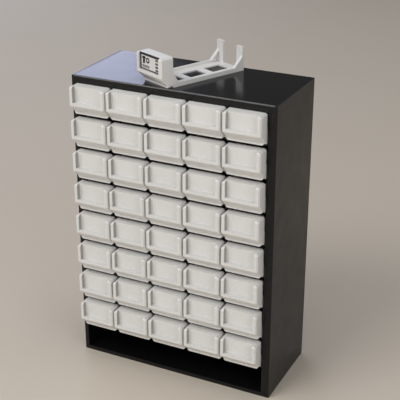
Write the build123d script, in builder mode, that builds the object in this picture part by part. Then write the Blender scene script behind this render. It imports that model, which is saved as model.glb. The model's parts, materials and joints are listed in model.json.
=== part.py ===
"""Parts organizer: a black cabinet with forty white pull-out drawers, an open
bay underneath, and one more drawer carrier lying loose on top of it.

Millimetres, +X to the right, +Y to the back, +Z up. The origin is the middle of
the cabinet's underside.
"""

import os

from build123d import *

# ---- cabinet -----------------------------------------------------------------
cabinet_width = 306.0
cabinet_depth = 133.0
cabinet_height = 441.0
skin = 4.0  # outer thickness of each side that runs past the top and the floor
left_wall = 6.0
right_wall = 12.0
top_thickness = 12.6
floor_thickness = 6.2
top_edge_radius = 2.0
shelf_thickness = 3.0
divider_thickness = 1.6
lattice_setback = 2.0  # shelves and dividers stop this far behind the front
crossing_gap = 0.1  # on each side of a plate where it passes through another
back_thickness = 3.0
back_recess = 4.7  # the back panel sits this far inside the rear edges
groove_depth = 2.0  # how far the back panel's edges go into the shell

# ---- grid of drawers ---------------------------------------------------------
row_count = 8
column_count = 5
column_pitch = 57.7
row_pitch = 48.3
first_column_x = -146.4  # left side of the first column
first_row_top_z = 430.1
slide_gap = 0.1  # under every drawer
front_gap = 0.3  # behind every drawer front

# ---- drawer carrier ----------------------------------------------------------
carrier_width = 54.9
carrier_length = 144.0
carrier_height = 42.1
block_depth = 20.0
grip_height = 15.0  # front face starts this far above the underside
grip_depth = 12.4  # the finger grip slopes back this far
toe_height = 3.0  # upright strip below the finger grip
front_chamfer = 1.8
top_corner_cut = 2.2
bottom_corner_cut = 3.0
pocket_side_rim = 5.6
pocket_bottom_rim = 4.2
pocket_depth = 6.5
plate_thickness = 2.0
rail_thickness = 2.5
rail_height = 6.0
window_width = 22.0
window_length = 28.4
window_pitch = 39.4
window_count = 3
first_window_y = 23.6
post_width = 13.0
post_thickness = 2.4
post_height = 33.5
hook_reach = 1.2
hook_height = 2.0
gusset_leg = 14.0
gusset_web = 1.4
gusset_rib_width = 5.0
gusset_rib_thickness = 2.2
front_gusset_leg = 9.0
front_gusset_height = 16.0

# ---- tray that stands in each carrier ----------------------------------------
tray_side_gap = 0.5
tray_wall = 1.4
tray_top_z = 36.0
tray_front_gap = 0.8
tray_length = 105.0
tray_corner_radius = 3.0

# ---- display of the loose carrier --------------------------------------------
display_gap = 0.15
display_recess = 2.6  # the glass sits this far behind the front face
glass_thickness = 1.1

# ---- loose carrier on top of the cabinet -------------------------------------
loose_x = -57.9
loose_y = -53.1
loose_turn = -24.75  # degrees about +Z
loose_gap = 0.05

# ---- derived -----------------------------------------------------------------
front_y = -cabinet_depth / 2
rear_y = cabinet_depth / 2
left_x = -cabinet_width / 2
right_x = cabinet_width / 2
inner_left_x = left_x + left_wall
inner_right_x = right_x - right_wall
ceiling_z = cabinet_height - top_thickness
back_rear_y = rear_y - back_recess
back_front_y = back_rear_y - back_thickness
lattice_front_y = front_y + lattice_setback
lattice_middle_y = (lattice_front_y + back_front_y) / 2
carrier_front_y = front_y - front_gap - block_depth

os.makedirs("parts", exist_ok=True)


def box(x_range, y_range, z_range, mode=Mode.ADD):
    """A box between two limits on each axis, made in the open part builder."""
    corner = (x_range[0], y_range[0], z_range[0])
    size = (x_range[1] - x_range[0], y_range[1] - y_range[0], z_range[1] - z_range[0])
    with Locations(corner):
        Box(*size, align=(Align.MIN, Align.MIN, Align.MIN), mode=mode)


def save(shape, name):
    """Label a finished piece and write it to the parts folder."""
    shape.label = name
    export_step(shape, f"parts/{name}.step")


def drawer_floor_z(row):
    """Underside of the drawers in a row, counted from 0 at the top."""
    return first_row_top_z - carrier_height - row * row_pitch


def divider_middle_x(index):
    """Middle of the gap to the right of a column, counted from 0."""
    gap = column_pitch - carrier_width
    return first_column_x + index * column_pitch + carrier_width + gap / 2


# ---- shell -------------------------------------------------------------------
groove_y = (back_front_y, back_rear_y)
groove_x = (inner_left_x - groove_depth, inner_right_x + groove_depth)
groove_z = (floor_thickness - groove_depth, ceiling_z + groove_depth)

with BuildPart() as side_left:
    box((left_x, inner_left_x), (front_y, rear_y), (0, cabinet_height))
    # the top and the floor lap over the inner part of the wall
    lap_x = (left_x + skin, inner_left_x)
    box(lap_x, (front_y, rear_y), (0, floor_thickness), Mode.SUBTRACT)
    box(lap_x, (front_y, rear_y), (ceiling_z, cabinet_height), Mode.SUBTRACT)
    box((groove_x[0], inner_left_x), groove_y, (floor_thickness, ceiling_z), Mode.SUBTRACT)
save(side_left.part, "side_left")

with BuildPart() as side_right:
    box((inner_right_x, right_x), (front_y, rear_y), (0, cabinet_height))
    lap_x = (inner_right_x, right_x - skin)
    box(lap_x, (front_y, rear_y), (0, floor_thickness), Mode.SUBTRACT)
    box(lap_x, (front_y, rear_y), (ceiling_z, cabinet_height), Mode.SUBTRACT)
    box((inner_right_x, groove_x[1]), groove_y, (floor_thickness, ceiling_z), Mode.SUBTRACT)
save(side_right.part, "side_right")

between_skins = (left_x + skin, right_x - skin)

with BuildPart() as top_panel:
    box(between_skins, (front_y, rear_y), (ceiling_z, cabinet_height))
    top_edges = top_panel.edges().filter_by(Axis.X).group_by(Axis.Z)[-1]
    fillet(top_edges.sort_by(Axis.Y)[0], radius=top_edge_radius)
    box(groove_x, groove_y, (ceiling_z, groove_z[1]), Mode.SUBTRACT)
save(top_panel.part, "top_panel")

with BuildPart() as floor_panel:
    box(between_skins, (front_y, rear_y), (0, floor_thickness))
    box(groove_x, groove_y, (groove_z[0], floor_thickness), Mode.SUBTRACT)
save(floor_panel.part, "floor_panel")

with BuildPart() as back_panel:
    box(groove_x, groove_y, groove_z)
save(back_panel.part, "back_panel")

# ---- shelves and dividers, slotted through each other -------------------------
slot_half = divider_thickness / 2 + crossing_gap
for row in range(row_count):
    shelf_top_z = drawer_floor_z(row) - slide_gap
    shelf_z = (shelf_top_z - shelf_thickness, shelf_top_z)
    with BuildPart() as shelf:
        box((inner_left_x, inner_right_x), (lattice_front_y, back_front_y), shelf_z)
        if row < row_count - 1:
            for index in range(column_count - 1):
                middle_x = divider_middle_x(index)
                slot_x = (middle_x - slot_half, middle_x + slot_half)
                box(slot_x, (lattice_middle_y, back_front_y), shelf_z, Mode.SUBTRACT)
    save(shelf.part, f"shelf_{row + 1}")

lowest_shelf_top_z = drawer_floor_z(row_count - 1) - slide_gap
for index in range(column_count - 1):
    middle_x = divider_middle_x(index)
    plate_x = (middle_x - divider_thickness / 2, middle_x + divider_thickness / 2)
    with BuildPart() as divider:
        box(plate_x, (lattice_front_y, back_front_y), (lowest_shelf_top_z, ceiling_z))
        for row in range(row_count - 1):
            slot_top_z = drawer_floor_z(row) - slide_gap + crossing_gap
            slot_bottom_z = slot_top_z - shelf_thickness - 2 * crossing_gap
            slot_y = (lattice_front_y, lattice_middle_y)
            box(plate_x, slot_y, (slot_bottom_z, slot_top_z), Mode.SUBTRACT)
    save(divider.part, f"divider_{index + 1}")

# ---- drawer carrier ----------------------------------------------------------
pocket_x = (pocket_side_rim, carrier_width - pocket_side_rim)
pocket_z = (grip_height + pocket_bottom_rim, carrier_height)  # open at the top
post_y = (carrier_length - post_thickness, carrier_length)
window_x = ((carrier_width - window_width) / 2, (carrier_width + window_width) / 2)

with BuildPart() as carrier:
    # front block: side profile with the finger grip under the front face
    with BuildSketch(Plane.YZ):
        with BuildLine():
            Polyline(
                (0, grip_height),
                (0, carrier_height),
                (block_depth, carrier_height),
                (block_depth, 0),
                (grip_depth, 0),
                (grip_depth, toe_height),
                close=True,
            )
        make_face()
    extrude(amount=carrier_width)
    # front outline with its corners cut off
    with BuildSketch(Plane.XZ):
        with BuildLine():
            Polyline(
                (bottom_corner_cut, 0),
                (carrier_width - bottom_corner_cut, 0),
                (carrier_width, bottom_corner_cut),
                (carrier_width, carrier_height - top_corner_cut),
                (carrier_width - top_corner_cut, carrier_height),
                (top_corner_cut, carrier_height),
                (0, carrier_height - top_corner_cut),
                (0, bottom_corner_cut),
                close=True,
            )
        make_face()
    extrude(amount=-block_depth, mode=Mode.INTERSECT)
    # the front face's edges, but not the lowest, and the sides of the grip
    front_edges = carrier.faces().sort_by(Axis.Y)[0].edges()
    grip_edges = carrier.edges().filter_by(
        lambda edge: edge.center().Y > 0
        and edge.center().Y < grip_depth
        and toe_height < edge.center().Z < grip_height
    )
    chamfer(front_edges.sort_by(Axis.Z)[1:] + grip_edges, length=front_chamfer)
    # pocket for the display, open at the top
    box(pocket_x, (0, pocket_depth), pocket_z, Mode.SUBTRACT)

    # floor frame with its windows and two rails
    box((0, carrier_width), (block_depth, carrier_length), (0, plate_thickness))
    for index in range(window_count):
        window_y = first_window_y + index * window_pitch
        window_span = (window_y, window_y + window_length)
        box(window_x, window_span, (0, plate_thickness), Mode.SUBTRACT)
    for rail_x in ((0, rail_thickness), (carrier_width - rail_thickness, carrier_width)):
        box(rail_x, (block_depth, carrier_length), (0, rail_height))

    # two rear posts, each with a small hook over its rear top edge
    for post_x in ((0, post_width), (carrier_width - post_width, carrier_width)):
        box(post_x, post_y, (0, post_height))
        hook_y = (carrier_length, carrier_length + hook_reach)
        box(post_x, hook_y, (post_height - hook_height, post_height))

    # gussets: a thin outer web and a sloping rib in front of each post
    rib_rise = gusset_rib_thickness * 2**0.5
    for web_x, rib_x in (
        (0, 0),
        (carrier_width - gusset_web, carrier_width - gusset_rib_width),
    ):
        with BuildSketch(Plane.YZ.offset(web_x)):
            with BuildLine():
                Polyline(
                    (post_y[0] - gusset_leg, rail_height),
                    (post_y[0], rail_height + gusset_leg),
                    (post_y[0], rail_height),
                    close=True,
                )
            make_face()
        extrude(amount=gusset_web)
        with BuildSketch(Plane.YZ.offset(rib_x)):
            with BuildLine():
                Polyline(
                    (post_y[0] - gusset_leg, rail_height),
                    (post_y[0], rail_height + gusset_leg),
                    (post_y[0], rail_height + gusset_leg - rib_rise),
                    (post_y[0] - gusset_leg + rib_rise, rail_height),
                    close=True,
                )
            make_face()
        extrude(amount=gusset_rib_width)

    # small webs from the rails up the back of the front block
    for web_x in (0, carrier_width - rail_thickness):
        with BuildSketch(Plane.YZ.offset(web_x)):
            with BuildLine():
                Polyline(
                    (block_depth, rail_height),
                    (block_depth + front_gusset_leg, rail_height),
                    (block_depth, rail_height + front_gusset_height),
                    close=True,
                )
            make_face()
        extrude(amount=rail_thickness)

# ---- tray --------------------------------------------------------------------
tray_x = (rail_thickness + tray_side_gap, carrier_width - rail_thickness - tray_side_gap)
tray_y = (block_depth + tray_front_gap, block_depth + tray_front_gap + tray_length)

with BuildPart() as tray:
    box(tray_x, tray_y, (plate_thickness, tray_top_z))
    fillet(tray.edges().filter_by(Axis.Z), radius=tray_corner_radius)
    offset(
        amount=-tray_wall,
        openings=tray.faces().sort_by(Axis.Z)[-1],
    )

# ---- forty drawers, a carrier with its tray in each ---------------------------
for row in range(row_count):
    for column in range(column_count):
        place = Location(
            (first_column_x + column * column_pitch, carrier_front_y, drawer_floor_z(row))
        )
        drawer = Compound(children=[carrier.part.moved(place), tray.part.moved(place)])
        save(drawer, f"drawer_r{row + 1}c{column + 1}")

# ---- loose carrier and its display --------------------------------------------
loose_place = Location((loose_x, loose_y, cabinet_height + loose_gap), (0, 0, loose_turn))
save(carrier.part.moved(loose_place), "loose_carrier")

# the display is a white module with a glass in front, pushed in from the top
display_x = (pocket_x[0] + display_gap, pocket_x[1] - display_gap)
display_z = (pocket_z[0] + display_gap, pocket_z[1])
glass_back_y = display_recess + glass_thickness

with BuildPart() as display_module:
    box(display_x, (glass_back_y, pocket_depth), display_z)
save(display_module.part.moved(loose_place), "loose_display_module")

with BuildPart() as display_glass:
    box(display_x, (display_recess, glass_back_y), display_z)
save(display_glass.part.moved(loose_place), "loose_display_glass")
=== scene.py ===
"""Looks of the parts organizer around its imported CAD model: finishes for the
cabinet, the drawers and the display, the graphics on the display, and the studio.

Metres, in the CAD frame. The graphics' outlines are in millimetres.
"""

import json
import math

import bmesh
import bpy
from mathutils import Matrix, Vector


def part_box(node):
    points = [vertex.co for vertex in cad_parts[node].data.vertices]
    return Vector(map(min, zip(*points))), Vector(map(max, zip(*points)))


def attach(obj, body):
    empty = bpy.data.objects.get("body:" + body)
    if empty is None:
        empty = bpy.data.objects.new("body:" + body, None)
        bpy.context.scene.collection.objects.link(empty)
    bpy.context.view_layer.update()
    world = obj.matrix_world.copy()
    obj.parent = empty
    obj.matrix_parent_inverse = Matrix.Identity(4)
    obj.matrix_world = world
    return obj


MM = 0.001

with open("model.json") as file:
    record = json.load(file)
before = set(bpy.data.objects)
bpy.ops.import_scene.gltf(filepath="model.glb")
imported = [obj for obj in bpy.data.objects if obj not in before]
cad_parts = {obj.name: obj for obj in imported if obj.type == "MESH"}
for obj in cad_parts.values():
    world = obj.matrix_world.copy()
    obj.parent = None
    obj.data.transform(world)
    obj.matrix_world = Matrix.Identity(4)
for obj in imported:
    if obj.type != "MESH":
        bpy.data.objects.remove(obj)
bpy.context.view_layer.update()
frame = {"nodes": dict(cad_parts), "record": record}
nodes = frame["nodes"]

# ---- sizes on the drawers --------------------------------------------------------
POCKET_RIM = 5.6 * MM  # from a drawer's side to the side wall of its pocket
POCKET_FLOOR = 19.2 * MM  # from a drawer's underside to the ledge of its pocket
ON_SURFACE = 0.4 * MM  # a point this near to a wall or a ledge is on it
LAYER_HEIGHT = 0.3 * MM
WAVE_BANDS = 20  # radians per unit in the wave texture at scale 1
LAYER_SCALE = 2 * math.pi / (WAVE_BANDS * LAYER_HEIGHT)
EDGE_WIDTH = 0.25 * MM  # of the softened edges
EDGE_SEGMENTS = 2
SHARP_ANGLE = math.radians(25)  # edges that turn further than this are softened
FLAT_ANGLE = math.radians(0.5)  # faces that turn less than this become one
SAME_POINT = 0.01 * MM
NORMAL_WEIGHT = 80
UP_AND_FRONT = (0.0, -0.707, 0.707)


# ---- node helpers ----------------------------------------------------------------
def new_material(name):
    """An empty node material and its tree."""
    material = bpy.data.materials.new(name)
    material.use_nodes = True
    material.node_tree.nodes.clear()
    return material, material.node_tree


def add(tree, kind, inputs=None, **settings):
    """A node with its settings, and values or links on its inputs."""
    made = tree.nodes.new(kind)
    for key, value in settings.items():
        setattr(made, key, value)
    for key, value in (inputs or {}).items():
        if isinstance(value, bpy.types.NodeSocket):
            tree.links.new(value, made.inputs[key])
        else:
            made.inputs[key].default_value = value
    return made


def place(tree):
    """Object coordinates: metres in the CAD frame, moving with the piece."""
    return add(tree, "ShaderNodeTexCoord").outputs["Object"]


def surface_normal(tree):
    """The direction that the surface faces."""
    return add(tree, "ShaderNodeTexCoord").outputs["Normal"]


def noise(tree, where, scale, detail=2.0, rough=0.5):
    """A noise value around 0.5."""
    made = add(
        tree,
        "ShaderNodeTexNoise",
        {"Vector": where, "Scale": scale, "Detail": detail, "Roughness": rough},
    )
    return made.outputs["Fac"]


def remap(tree, value, low, high, start=0.3, end=0.7):
    """A value between start and end spread over low to high."""
    made = add(
        tree,
        "ShaderNodeMapRange",
        {"Value": value, "From Min": start, "From Max": end, "To Min": low, "To Max": high},
    )
    return made.outputs["Result"]


def math_node(tree, operation, *values):
    """The result of a math node."""
    inputs = dict(enumerate(values))
    return add(tree, "ShaderNodeMath", inputs, operation=operation).outputs[0]


def dot_product(tree, first, second):
    """The dot product of two directions."""
    made = add(tree, "ShaderNodeVectorMath", {0: first, 1: second}, operation="DOT_PRODUCT")
    return made.outputs["Value"]


def blend_colors(tree, factor, first, second):
    """Colour between two others."""
    made = add(tree, "ShaderNodeMix", data_type="RGBA")
    tree.links.new(factor, made.inputs[0])
    for socket, value in ((made.inputs[6], first), (made.inputs[7], second)):
        if isinstance(value, bpy.types.NodeSocket):
            tree.links.new(value, socket)
        else:
            socket.default_value = (*value, 1.0)
    return made.outputs[2]


def bump(tree, height, distance, strength=1.0, below=None):
    """A bump normal, on top of another one where given."""
    inputs = {"Height": height, "Distance": distance, "Strength": strength}
    if below is not None:
        inputs["Normal"] = below
    return add(tree, "ShaderNodeBump", inputs).outputs["Normal"]


def surface(tree, **inputs):
    """The shader and the output, with the inputs by socket name."""
    named = {key.replace("_", " "): value for key, value in inputs.items()}
    shader = add(tree, "ShaderNodeBsdfPrincipled", named)
    add(tree, "ShaderNodeOutputMaterial", {"Surface": shader.outputs["BSDF"]})


# ---- black of the case -----------------------------------------------------------
def cabinet_black(name, dark, light, rough_low, rough_high, painted_highlight=None):
    """Satin black coated board: fine eggshell grain, faint smudges and dust.

    With a highlight colour given, surfaces that face halfway between up and front take that
    colour,
    as on the rounded front edge of the top: a painted highlight.
    """
    material, tree = new_material(name)
    where = place(tree)
    cloud = noise(tree, where, 9.0, 4.0, 0.6)
    grain = noise(tree, where, 1500.0, 2.0)
    dust = noise(tree, where, 420.0, 3.0, 0.7)
    tone = blend_colors(tree, remap(tree, cloud, 0.0, 1.0), dark, light)
    speck = remap(tree, dust, 0.0, 0.5, 0.66, 0.80)
    tone = blend_colors(tree, speck, tone, tuple(min(1.0, 3.0 * c) for c in light))
    smear = noise(tree, where, 38.0, 3.0, 0.55)
    rough = remap(tree, smear, rough_low, rough_high)
    # painted highlight on surfaces that face up and front, such as the top's rounded front edge
    if painted_highlight is not None:
        facing = dot_product(tree, surface_normal(tree), UP_AND_FRONT)
        on_edge = remap(tree, facing, 0.0, 1.0, 0.74, 0.90)
        painted_highlight_mask = math_node(tree, "MULTIPLY", on_edge, remap(tree, smear, 0.75, 1.0))
        tone = blend_colors(tree, painted_highlight_mask, tone, painted_highlight)
    normal = bump(tree, grain, 0.02 * MM, 0.35)
    surface(tree, Base_Color=tone, Roughness=rough, Normal=normal, IOR=1.38)
    return material


# ---- white of the drawers --------------------------------------------------------
def pocket_painted_shade_mask(tree, where):
    """Mask of painted shade: 1 on the side walls of the drawers' pockets, less on their ledges,
    0 elsewhere.
    """
    low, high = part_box("drawer_r1c1")
    across_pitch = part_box("drawer_r1c2")[0].x - low.x
    down_pitch = low.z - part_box("drawer_r2c1")[0].z
    position = add(tree, "ShaderNodeSeparateXYZ", {"Vector": where})
    across = math_node(tree, "SUBTRACT", position.outputs["X"], low.x)
    across = math_node(tree, "WRAP", across, across_pitch, 0.0)
    height = math_node(tree, "SUBTRACT", position.outputs["Z"], low.z)
    height = math_node(tree, "WRAP", height, down_pitch, 0.0)
    left_wall = math_node(tree, "COMPARE", across, POCKET_RIM, ON_SURFACE)
    right_wall_x = high.x - low.x - POCKET_RIM
    right_wall = math_node(tree, "COMPARE", across, right_wall_x, ON_SURFACE)
    walls = math_node(tree, "MAXIMUM", left_wall, right_wall)
    normal = add(tree, "ShaderNodeSeparateXYZ", {"Vector": surface_normal(tree)})
    sideways = math_node(tree, "ABSOLUTE", normal.outputs["X"])
    walls = math_node(tree, "MULTIPLY", walls, remap(tree, sideways, 0.0, 1.0, 0.75, 0.85))
    ledge = math_node(tree, "COMPARE", height, POCKET_FLOOR, ON_SURFACE)
    upward = remap(tree, normal.outputs["Z"], 0.0, 0.16, 0.75, 0.85)
    ledge = math_node(tree, "MULTIPLY", ledge, upward)
    return math_node(tree, "MAXIMUM", walls, ledge)


def printed_white(name, dark, light, pocket_painted_shade_tone=None):
    """Off-white printed plastic: fine layer lines, a silky sheen, soft mottling.

    Given a tone for the pockets, their side walls, and a little their ledges, take that greyer
    tone: painted shade in the pockets.
    """
    material, tree = new_material(name)
    where = place(tree)
    cloud = noise(tree, where, 16.0, 2.0)
    mottle = noise(tree, where, 160.0, 3.0, 0.6)
    shade = math_node(tree, "ADD", remap(tree, cloud, 0.0, 0.65), remap(tree, mottle, 0.0, 0.35))
    tone = blend_colors(tree, shade, dark, light)
    if pocket_painted_shade_tone is not None:
        # painted shade: the pockets' side walls and ledges are darkened towards the given tone
        tone = blend_colors(tree, pocket_painted_shade_mask(tree, where), tone, pocket_painted_shade_tone)
    layers = add(
        tree,
        "ShaderNodeTexWave",
        {
            "Vector": where,
            "Scale": LAYER_SCALE,
            "Distortion": 0.6,
            "Detail": 1.0,
            "Detail Scale": 0.02,
        },
        wave_type="BANDS",
        bands_direction="Z",
        wave_profile="SIN",
    ).outputs["Fac"]
    rough = remap(tree, noise(tree, where, 70.0, 3.0, 0.6), 0.45, 0.58)
    normal = bump(tree, layers, 0.03 * MM, 0.30)
    normal = bump(tree, mottle, 0.04 * MM, 0.08, normal)
    surface(tree, Base_Color=tone, Roughness=rough, Normal=normal, IOR=1.46)
    return material


# ---- finishes of the display -----------------------------------------------------
def display_glass():
    """Glossy black frame of the display, with faint dust."""
    material, tree = new_material("display_frame_black")
    where = place(tree)
    dust = remap(tree, noise(tree, where, 900.0, 3.0, 0.7), 0.0, 0.6, 0.62, 0.8)
    tone = blend_colors(tree, dust, (0.012, 0.012, 0.013), (0.06, 0.06, 0.06))
    rough = remap(tree, noise(tree, where, 110.0, 3.0), 0.16, 0.30)
    normal = bump(tree, noise(tree, where, 500.0), 0.02 * MM, 0.1)
    surface(tree, Base_Color=tone, Roughness=rough, Normal=normal, IOR=1.5)
    return material


def electronic_paper(name, dark, light, rough_low, rough_high):
    """Matte electronic paper or its ink, with a fine particle grain."""
    material, tree = new_material(name)
    where = place(tree)
    grain = noise(tree, where, 3800.0, 2.0, 0.7)
    cloud = noise(tree, where, 90.0)
    tone = blend_colors(tree, remap(tree, grain, 0.0, 1.0), dark, light)
    rough = remap(tree, cloud, rough_low, rough_high)
    normal = bump(tree, grain, 0.01 * MM, 0.2)
    surface(tree, Base_Color=tone, Roughness=rough, Normal=normal, IOR=1.45)
    return material


WHITE_DARK = (0.770, 0.765, 0.752)
WHITE_LIGHT = (0.815, 0.812, 0.800)

case_finish = cabinet_black(
    "cabinet_black",
    dark=(0.0050, 0.0050, 0.0052),
    light=(0.0060, 0.0060, 0.0063),
    rough_low=0.28,
    rough_high=0.36,
)
# lighter edges of the case: slight wear and a painted highlight
case_edge_wear_and_highlight = cabinet_black(
    "cabinet_black_edge_wear_and_highlight",
    dark=(0.016, 0.016, 0.017),
    light=(0.026, 0.026, 0.027),
    rough_low=0.25,
    rough_high=0.36,
)
# the top, with a painted highlight along its rounded front edge
top_finish = cabinet_black(
    "cabinet_black_top",
    dark=(0.0065, 0.0065, 0.0068),
    light=(0.0080, 0.0080, 0.0084),
    rough_low=0.14,
    rough_high=0.19,
    painted_highlight=(0.11, 0.112, 0.115),
)
# drawer white, with painted shade on the side walls and ledges of the pockets
white_finish = printed_white(
    "drawer_white", dark=WHITE_DARK, light=WHITE_LIGHT, pocket_painted_shade_tone=(0.40, 0.395, 0.38)
)
loose_finish = printed_white("loose_carrier_white", dark=WHITE_DARK, light=WHITE_LIGHT)
# lighter edges of the drawers and the carrier: slight wear and a painted highlight
white_edge_wear_and_highlight = printed_white(
    "drawer_white_edge_wear_and_highlight", dark=(0.800, 0.796, 0.784), light=(0.840, 0.836, 0.826)
)
glass_finish = display_glass()
paper_finish = electronic_paper(
    "display_paper",
    dark=(0.70, 0.70, 0.69),
    light=(0.78, 0.78, 0.77),
    rough_low=0.55,
    rough_high=0.70,
)
ink_finish = electronic_paper(
    "display_ink",
    dark=(0.010, 0.010, 0.011),
    light=(0.030, 0.030, 0.031),
    rough_low=0.45,
    rough_high=0.60,
)


# ---- finishes on the CAD nodes ---------------------------------------------------
def finish(node, faces, edges=None):
    """A finish for a CAD node, and softened edges where given, in a lighter colour for slight
    wear and a painted highlight.
    """
    piece = nodes[node]
    piece.data.materials.clear()
    piece.data.materials.append(faces)
    if edges is None:
        return
    piece.data.materials.append(edges)
    weld = piece.modifiers.new("weld", "WELD")
    weld.merge_threshold = SAME_POINT
    flatten = piece.modifiers.new("flat_faces", "DECIMATE")
    flatten.decimate_type = "DISSOLVE"
    flatten.angle_limit = FLAT_ANGLE
    soft = piece.modifiers.new("soft_edges", "BEVEL")
    soft.width = EDGE_WIDTH
    soft.segments = EDGE_SEGMENTS
    soft.limit_method = "ANGLE"
    soft.angle_limit = SHARP_ANGLE
    # the bevel faces take the lighter edge colour: slight wear and a painted highlight
    soft.material = 1
    soft.harden_normals = True
    soft.use_clamp_overlap = True
    even = piece.modifiers.new("even_normals", "WEIGHTED_NORMAL")
    even.weight = NORMAL_WEIGHT


shell = frame["record"]["behaviour"]["bodies"]["cabinet"]
for node in shell:
    if node == "top_panel":
        finish(node, top_finish)
    elif node.startswith("side_"):
        finish(node, case_finish, case_edge_wear_and_highlight)
    else:
        finish(node, case_finish)
for node in nodes:
    if node.startswith("drawer_"):
        finish(node, white_finish, white_edge_wear_and_highlight)
finish("loose_carrier", loose_finish, white_edge_wear_and_highlight)
finish("loose_display_module", loose_finish)
finish("loose_display_glass", glass_finish)


# ---- outlines, as lists of points ------------------------------------------------
CORNER_STEPS = 5
CIRCLE_STEPS = 24


def arc(cx, cy, radius, start, end, steps):
    """Points on an arc between two angles in degrees, with both ends."""
    points = []
    for i in range(steps + 1):
        angle = math.radians(start + (end - start) * i / steps)
        points.append((cx + radius * math.cos(angle), cy + radius * math.sin(angle)))
    return points


def circle(cx, cy, radius):
    """A circle."""
    return arc(cx, cy, radius, 0, 360, CIRCLE_STEPS)[:-1]


def rectangle(x0, y0, x1, y1):
    """A rectangle between two corners."""
    return [(x0, y0), (x1, y0), (x1, y1), (x0, y1)]


def rounded(x0, y0, x1, y1, radius):
    """A rectangle with round corners."""
    return (
        arc(x1 - radius, y1 - radius, radius, 0, 90, CORNER_STEPS)
        + arc(x0 + radius, y1 - radius, radius, 90, 180, CORNER_STEPS)
        + arc(x0 + radius, y0 + radius, radius, 180, 270, CORNER_STEPS)
        + arc(x1 - radius, y0 + radius, radius, 270, 360, CORNER_STEPS)
    )


# ---- the display's front face and the paper on it --------------------------------
BORDER_SIDE = 3.3 * MM
BORDER_TOP = 3.2 * MM
BORDER_BOTTOM = 1.8 * MM
PAPER_RADIUS = 0.5
PAPER_LEVEL = 0.06 * MM
INK_LEVEL = 0.10 * MM
MARK_LEVEL = 0.13 * MM


def front_face(node):
    """Middle of a turned box's front face, its right direction, width and height."""
    points = [v.co for v in nodes[node].data.vertices]
    low_z = min(p.z for p in points)
    high_z = max(p.z for p in points)
    leftmost = min(points, key=lambda p: p.x)
    lowest_y = min(points, key=lambda p: p.y)
    a = Vector((leftmost.x, leftmost.y, 0))
    b = Vector((lowest_y.x, lowest_y.y, 0))
    middle = (a + b) / 2 + Vector((0, 0, (low_z + high_z) / 2))
    return middle, (b - a).normalized(), (b - a).length, high_z - low_z


face_middle, face_right, face_width, face_height = front_face("loose_display_glass")
face_out = face_right.cross(Vector((0, 0, 1))).normalized()
face_to_world = Matrix.Translation(face_middle) @ Matrix(
    (
        (face_right.x, 0, face_out.x, 0),
        (face_right.y, 0, face_out.y, 0),
        (0, 1, 0, 0),
        (0, 0, 0, 1),
    )
)
paper_left = -face_width / 2 + BORDER_SIDE
paper_low = -face_height / 2 + BORDER_BOTTOM
paper_width = (face_width - 2 * BORDER_SIDE) / MM
paper_height = (face_height - BORDER_BOTTOM - BORDER_TOP) / MM


def outline_plate(mesh, outline, back, front):
    """A flat plate with the given outline, between two distances from the face."""
    ring_back = [mesh.verts.new((x, y, back)) for x, y in outline]
    ring_front = [mesh.verts.new((x, y, front)) for x, y in outline]
    mesh.faces.new(ring_front)
    mesh.faces.new(list(reversed(ring_back)))
    count = len(outline)
    for i in range(count):
        j = (i + 1) % count
        mesh.faces.new((ring_back[i], ring_back[j], ring_front[j], ring_front[i]))


def display_piece(name, outlines, back, front, material):
    """Plates on the display in one piece, riding on the loose carrier.

    The outlines are in millimetres from the paper's lower left corner.
    """
    mesh = bmesh.new()
    for outline in outlines:
        on_face = [(paper_left + x * MM, paper_low + y * MM) for x, y in outline]
        outline_plate(mesh, on_face, back, front)
    data = bpy.data.meshes.new(name)
    mesh.to_mesh(data)
    mesh.free()
    data.materials.append(material)
    piece = bpy.data.objects.new(name, data)
    bpy.context.scene.collection.objects.link(piece)
    data.transform(face_to_world)
    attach(piece, "loose_carrier")


paper = rounded(0, 0, paper_width, paper_height, PAPER_RADIUS)
display_piece("display_paper", [paper], 0.0, PAPER_LEVEL, paper_finish)

# ---- a bolt seen from the side, standing on its thread end -----------------------
BOLT_X = 5.3
HEAD_RADIUS = 0.8
SHANK_RADIUS = 0.2
HEAD_HALF_WIDTH = 3.7
SHANK_HALF_WIDTH = 1.9
THREAD_HALF_WIDTH = 2.5
HEAD_TOP = paper_height - 1.2
HEAD_BOTTOM = paper_height - 4.6
SHANK_TOP = paper_height - 4.5
SHANK_BOTTOM = paper_height - 11.2
FIRST_THREAD_Y = paper_height - 6.6
THREAD_COUNT = 5
THREAD_PITCH = 1.05
THREAD_RISE = 0.45
THREAD_WIDTH = 0.5

thread_left = BOLT_X - THREAD_HALF_WIDTH
thread_right = BOLT_X + THREAD_HALF_WIDTH
head_left = BOLT_X - HEAD_HALF_WIDTH
head_right = BOLT_X + HEAD_HALF_WIDTH
shank_left = BOLT_X - SHANK_HALF_WIDTH
shank_right = BOLT_X + SHANK_HALF_WIDTH
bolt = [
    rounded(head_left, HEAD_BOTTOM, head_right, HEAD_TOP, HEAD_RADIUS),
    rounded(shank_left, SHANK_BOTTOM, shank_right, SHANK_TOP, SHANK_RADIUS),
]
for index in range(THREAD_COUNT):
    low_y = FIRST_THREAD_Y - index * THREAD_PITCH
    bolt.append(
        [
            (thread_left, low_y),
            (thread_right, low_y + THREAD_RISE),
            (thread_right, low_y + THREAD_RISE + THREAD_WIDTH),
            (thread_left, low_y + THREAD_WIDTH),
        ]
    )
display_piece("display_bolt_sign", bolt, PAPER_LEVEL, INK_LEVEL, ink_finish)

# ---- a nut seen from above: a hexagonal ring in two halves -----------------------
NUT_X = 13.6
NUT_Y = paper_height - 5.9
NUT_RADIUS = 4.3
NUT_HOLE_RADIUS = 1.8
HEXAGON_STEPS = 3  # sides of a hexagon in each half

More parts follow.
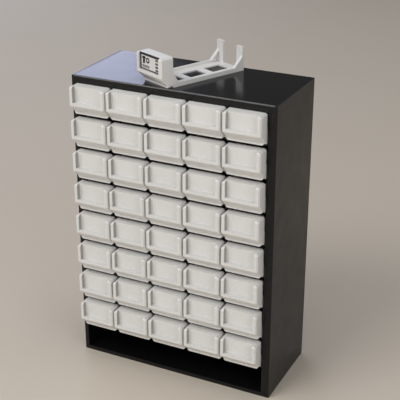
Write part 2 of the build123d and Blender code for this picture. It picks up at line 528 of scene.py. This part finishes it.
nut = []
for start in (30, 210):
    outer = arc(NUT_X, NUT_Y, NUT_RADIUS, start, start + 180, HEXAGON_STEPS)
    inner = arc(NUT_X, NUT_Y, NUT_HOLE_RADIUS, start, start + 180, CIRCLE_STEPS // 2)
    nut.append(outer + list(reversed(inner)))
display_piece("display_nut_sign", nut, PAPER_LEVEL, INK_LEVEL, ink_finish)

# ---- a row of bars of different widths under the signs ---------------------------
BAR_WIDTHS = (0.9, 0.5, 1.3, 0.5, 0.9, 1.6, 0.5, 0.9, 0.5, 1.3, 0.5)
BAR_LEFT = 1.6
BAR_GAP = 0.62
BAR_LOW = 1.0
BAR_HIGH = 5.0

bars = []
bar_x = BAR_LEFT
for width in BAR_WIDTHS:
    bars.append(rectangle(bar_x, BAR_LOW, bar_x + width, BAR_HIGH))
    bar_x += width + BAR_GAP
display_piece("display_bars", bars, PAPER_LEVEL, INK_LEVEL, ink_finish)

# ---- four dark keys down the right side, each with its own light mark ------------
KEY_WIDTH = 5.6
KEY_HEIGHT = 2.8
KEY_RADIUS = 0.6
KEY_SIDE_MARGIN = 0.7
KEY_END_MARGIN = 0.6
KEY_MARKS = (
    circle(0, 0, 0.45),
    rectangle(-0.8, -0.2, 0.8, 0.2),
    [(-0.5, -0.4), (0.5, -0.4), (0, 0.5)],
    rectangle(-0.4, -0.4, 0.4, 0.4),
)

key_x = paper_width - KEY_SIDE_MARGIN - KEY_WIDTH
highest_key_y = paper_height - KEY_END_MARGIN - KEY_HEIGHT
key_pitch = (highest_key_y - KEY_END_MARGIN) / (len(KEY_MARKS) - 1)
keys = []
marks = []
for index, mark in enumerate(KEY_MARKS):
    key_y = highest_key_y - index * key_pitch
    middle_x = key_x + KEY_WIDTH / 2
    middle_y = key_y + KEY_HEIGHT / 2
    keys.append(rounded(key_x, key_y, key_x + KEY_WIDTH, key_y + KEY_HEIGHT, KEY_RADIUS))
    marks.append([(middle_x + x, middle_y + y) for x, y in mark])
display_piece("display_keys", keys, PAPER_LEVEL, INK_LEVEL, ink_finish)
display_piece("display_key_marks", marks, INK_LEVEL, MARK_LEVEL, paper_finish)

# ---- floor -----------------------------------------------------------------------
FLOOR_REACH = 9.0
FLOOR_COLOR = (0.66, 0.595, 0.51)


def floor_material(color):
    """Plain matte floor with a very faint mottling."""
    material, tree = new_material("floor_pale")
    cloud = remap(tree, noise(tree, place(tree), 3.0, 3.0), 0.0, 1.0)
    tone = blend_colors(tree, cloud, tuple(0.985 * c for c in color), color)
    surface(tree, Base_Color=tone, Roughness=0.8, Specular_IOR_Level=0.3)
    return material


floor_data = bpy.data.meshes.new("floor")
floor_data.from_pydata(
    [(x, y, 0) for x, y in rectangle(-FLOOR_REACH, -FLOOR_REACH, FLOOR_REACH, FLOOR_REACH)],
    [],
    [(0, 1, 2, 3)],
)
floor_data.materials.append(floor_material(FLOOR_COLOR))
sheet = bpy.data.objects.new("floor", floor_data)
bpy.context.scene.collection.objects.link(sheet)


# ---- lights ----------------------------------------------------------------------
def softbox(name, where, target, size, power, color):
    """A rectangular area light aimed at a point."""
    data = bpy.data.lights.new(name, "AREA")
    data.shape = "RECTANGLE"
    data.size = size[0]
    data.size_y = size[1]
    data.energy = power
    data.color = color
    lamp = bpy.data.objects.new(name, data)
    lamp.location = where
    aim = Vector(target) - Vector(where)
    lamp.rotation_euler = aim.to_track_quat("-Z", "Y").to_euler()
    bpy.context.scene.collection.objects.link(lamp)


softbox(
    "key",
    where=(-1.15, -2.05, 2.55),
    target=(0, 0, 0.2),
    size=(1.9, 1.4),
    power=44.0,
    color=(1.0, 0.99, 0.975),
)
softbox(
    "front_low",
    where=(0.2, -2.3, 0.40),
    target=(0, 0, 0.12),
    size=(1.6, 0.5),
    power=3.5,
    color=(1.0, 0.98, 0.95),
)
softbox(
    "overhead",
    where=(0.1, -0.1, 2.6),
    target=(0, 0, 0.3),
    size=(1.4, 1.4),
    power=6.0,
    color=(1.0, 0.995, 0.985),
)
softbox(
    "fill_right",
    where=(2.0, -1.2, 1.1),
    target=(0, 0, 0.2),
    size=(1.2, 1.2),
    power=9.0,
    color=(1.0, 0.99, 0.975),
)
softbox(
    "rear_left",
    where=(-2.9, 3.0, 1.75),
    target=(-2.9, 0.0, 1.75),
    size=(2.36, 2.1),
    power=46.0,
    color=(0.71, 0.75, 1.0),
)

# ---- even studio light, darker low down at the back of the room ------------------
ROOM_LIGHT = (0.33, 0.329, 0.327)
ROOM_DARK = (0.09, 0.09, 0.092)
BACK_DARK = Vector((-0.26, 0.93, 0.26)).normalized()

world = bpy.data.worlds.new("studio")
world.use_nodes = True
sky = world.node_tree
background = sky.nodes["Background"]
direction = add(sky, "ShaderNodeTexCoord").outputs["Generated"]
toward_back = dot_product(sky, direction, BACK_DARK)
shade = remap(sky, toward_back, 0.0, 1.0, 0.80, 0.96)
light_tone = blend_colors(sky, shade, ROOM_LIGHT, ROOM_DARK)
sky.links.new(light_tone, background.inputs["Color"])
background.inputs["Strength"].default_value = 1.0
bpy.context.scene.world = world

# ---- camera ----------------------------------------------------------------------
AZIMUTH = math.radians(26.078)
ELEVATION = math.radians(24.336)
TARGET = Vector((0.0113, 0.0, 0.2568))
DISTANCE = 1.4741
LENS = 92.154
SENSOR_WIDTH = 36.0

toward = Vector(
    (
        math.sin(AZIMUTH) * math.cos(ELEVATION),
        -math.cos(AZIMUTH) * math.cos(ELEVATION),
        math.sin(ELEVATION),
    )
)
camera_data = bpy.data.cameras.new("camera")
camera_data.lens = LENS
camera_data.sensor_width = SENSOR_WIDTH
camera_data.dof.use_dof = False
camera_data.clip_start = 0.01
camera_data.clip_end = 50.0
camera = bpy.data.objects.new("camera", camera_data)
camera.location = TARGET + toward * DISTANCE
camera.rotation_euler = toward.to_track_quat("Z", "Y").to_euler()
bpy.context.scene.collection.objects.link(camera)
bpy.context.scene.camera = camera
bpy.context.scene.view_settings.view_transform = "Standard"

bpy.context.view_layer.update()
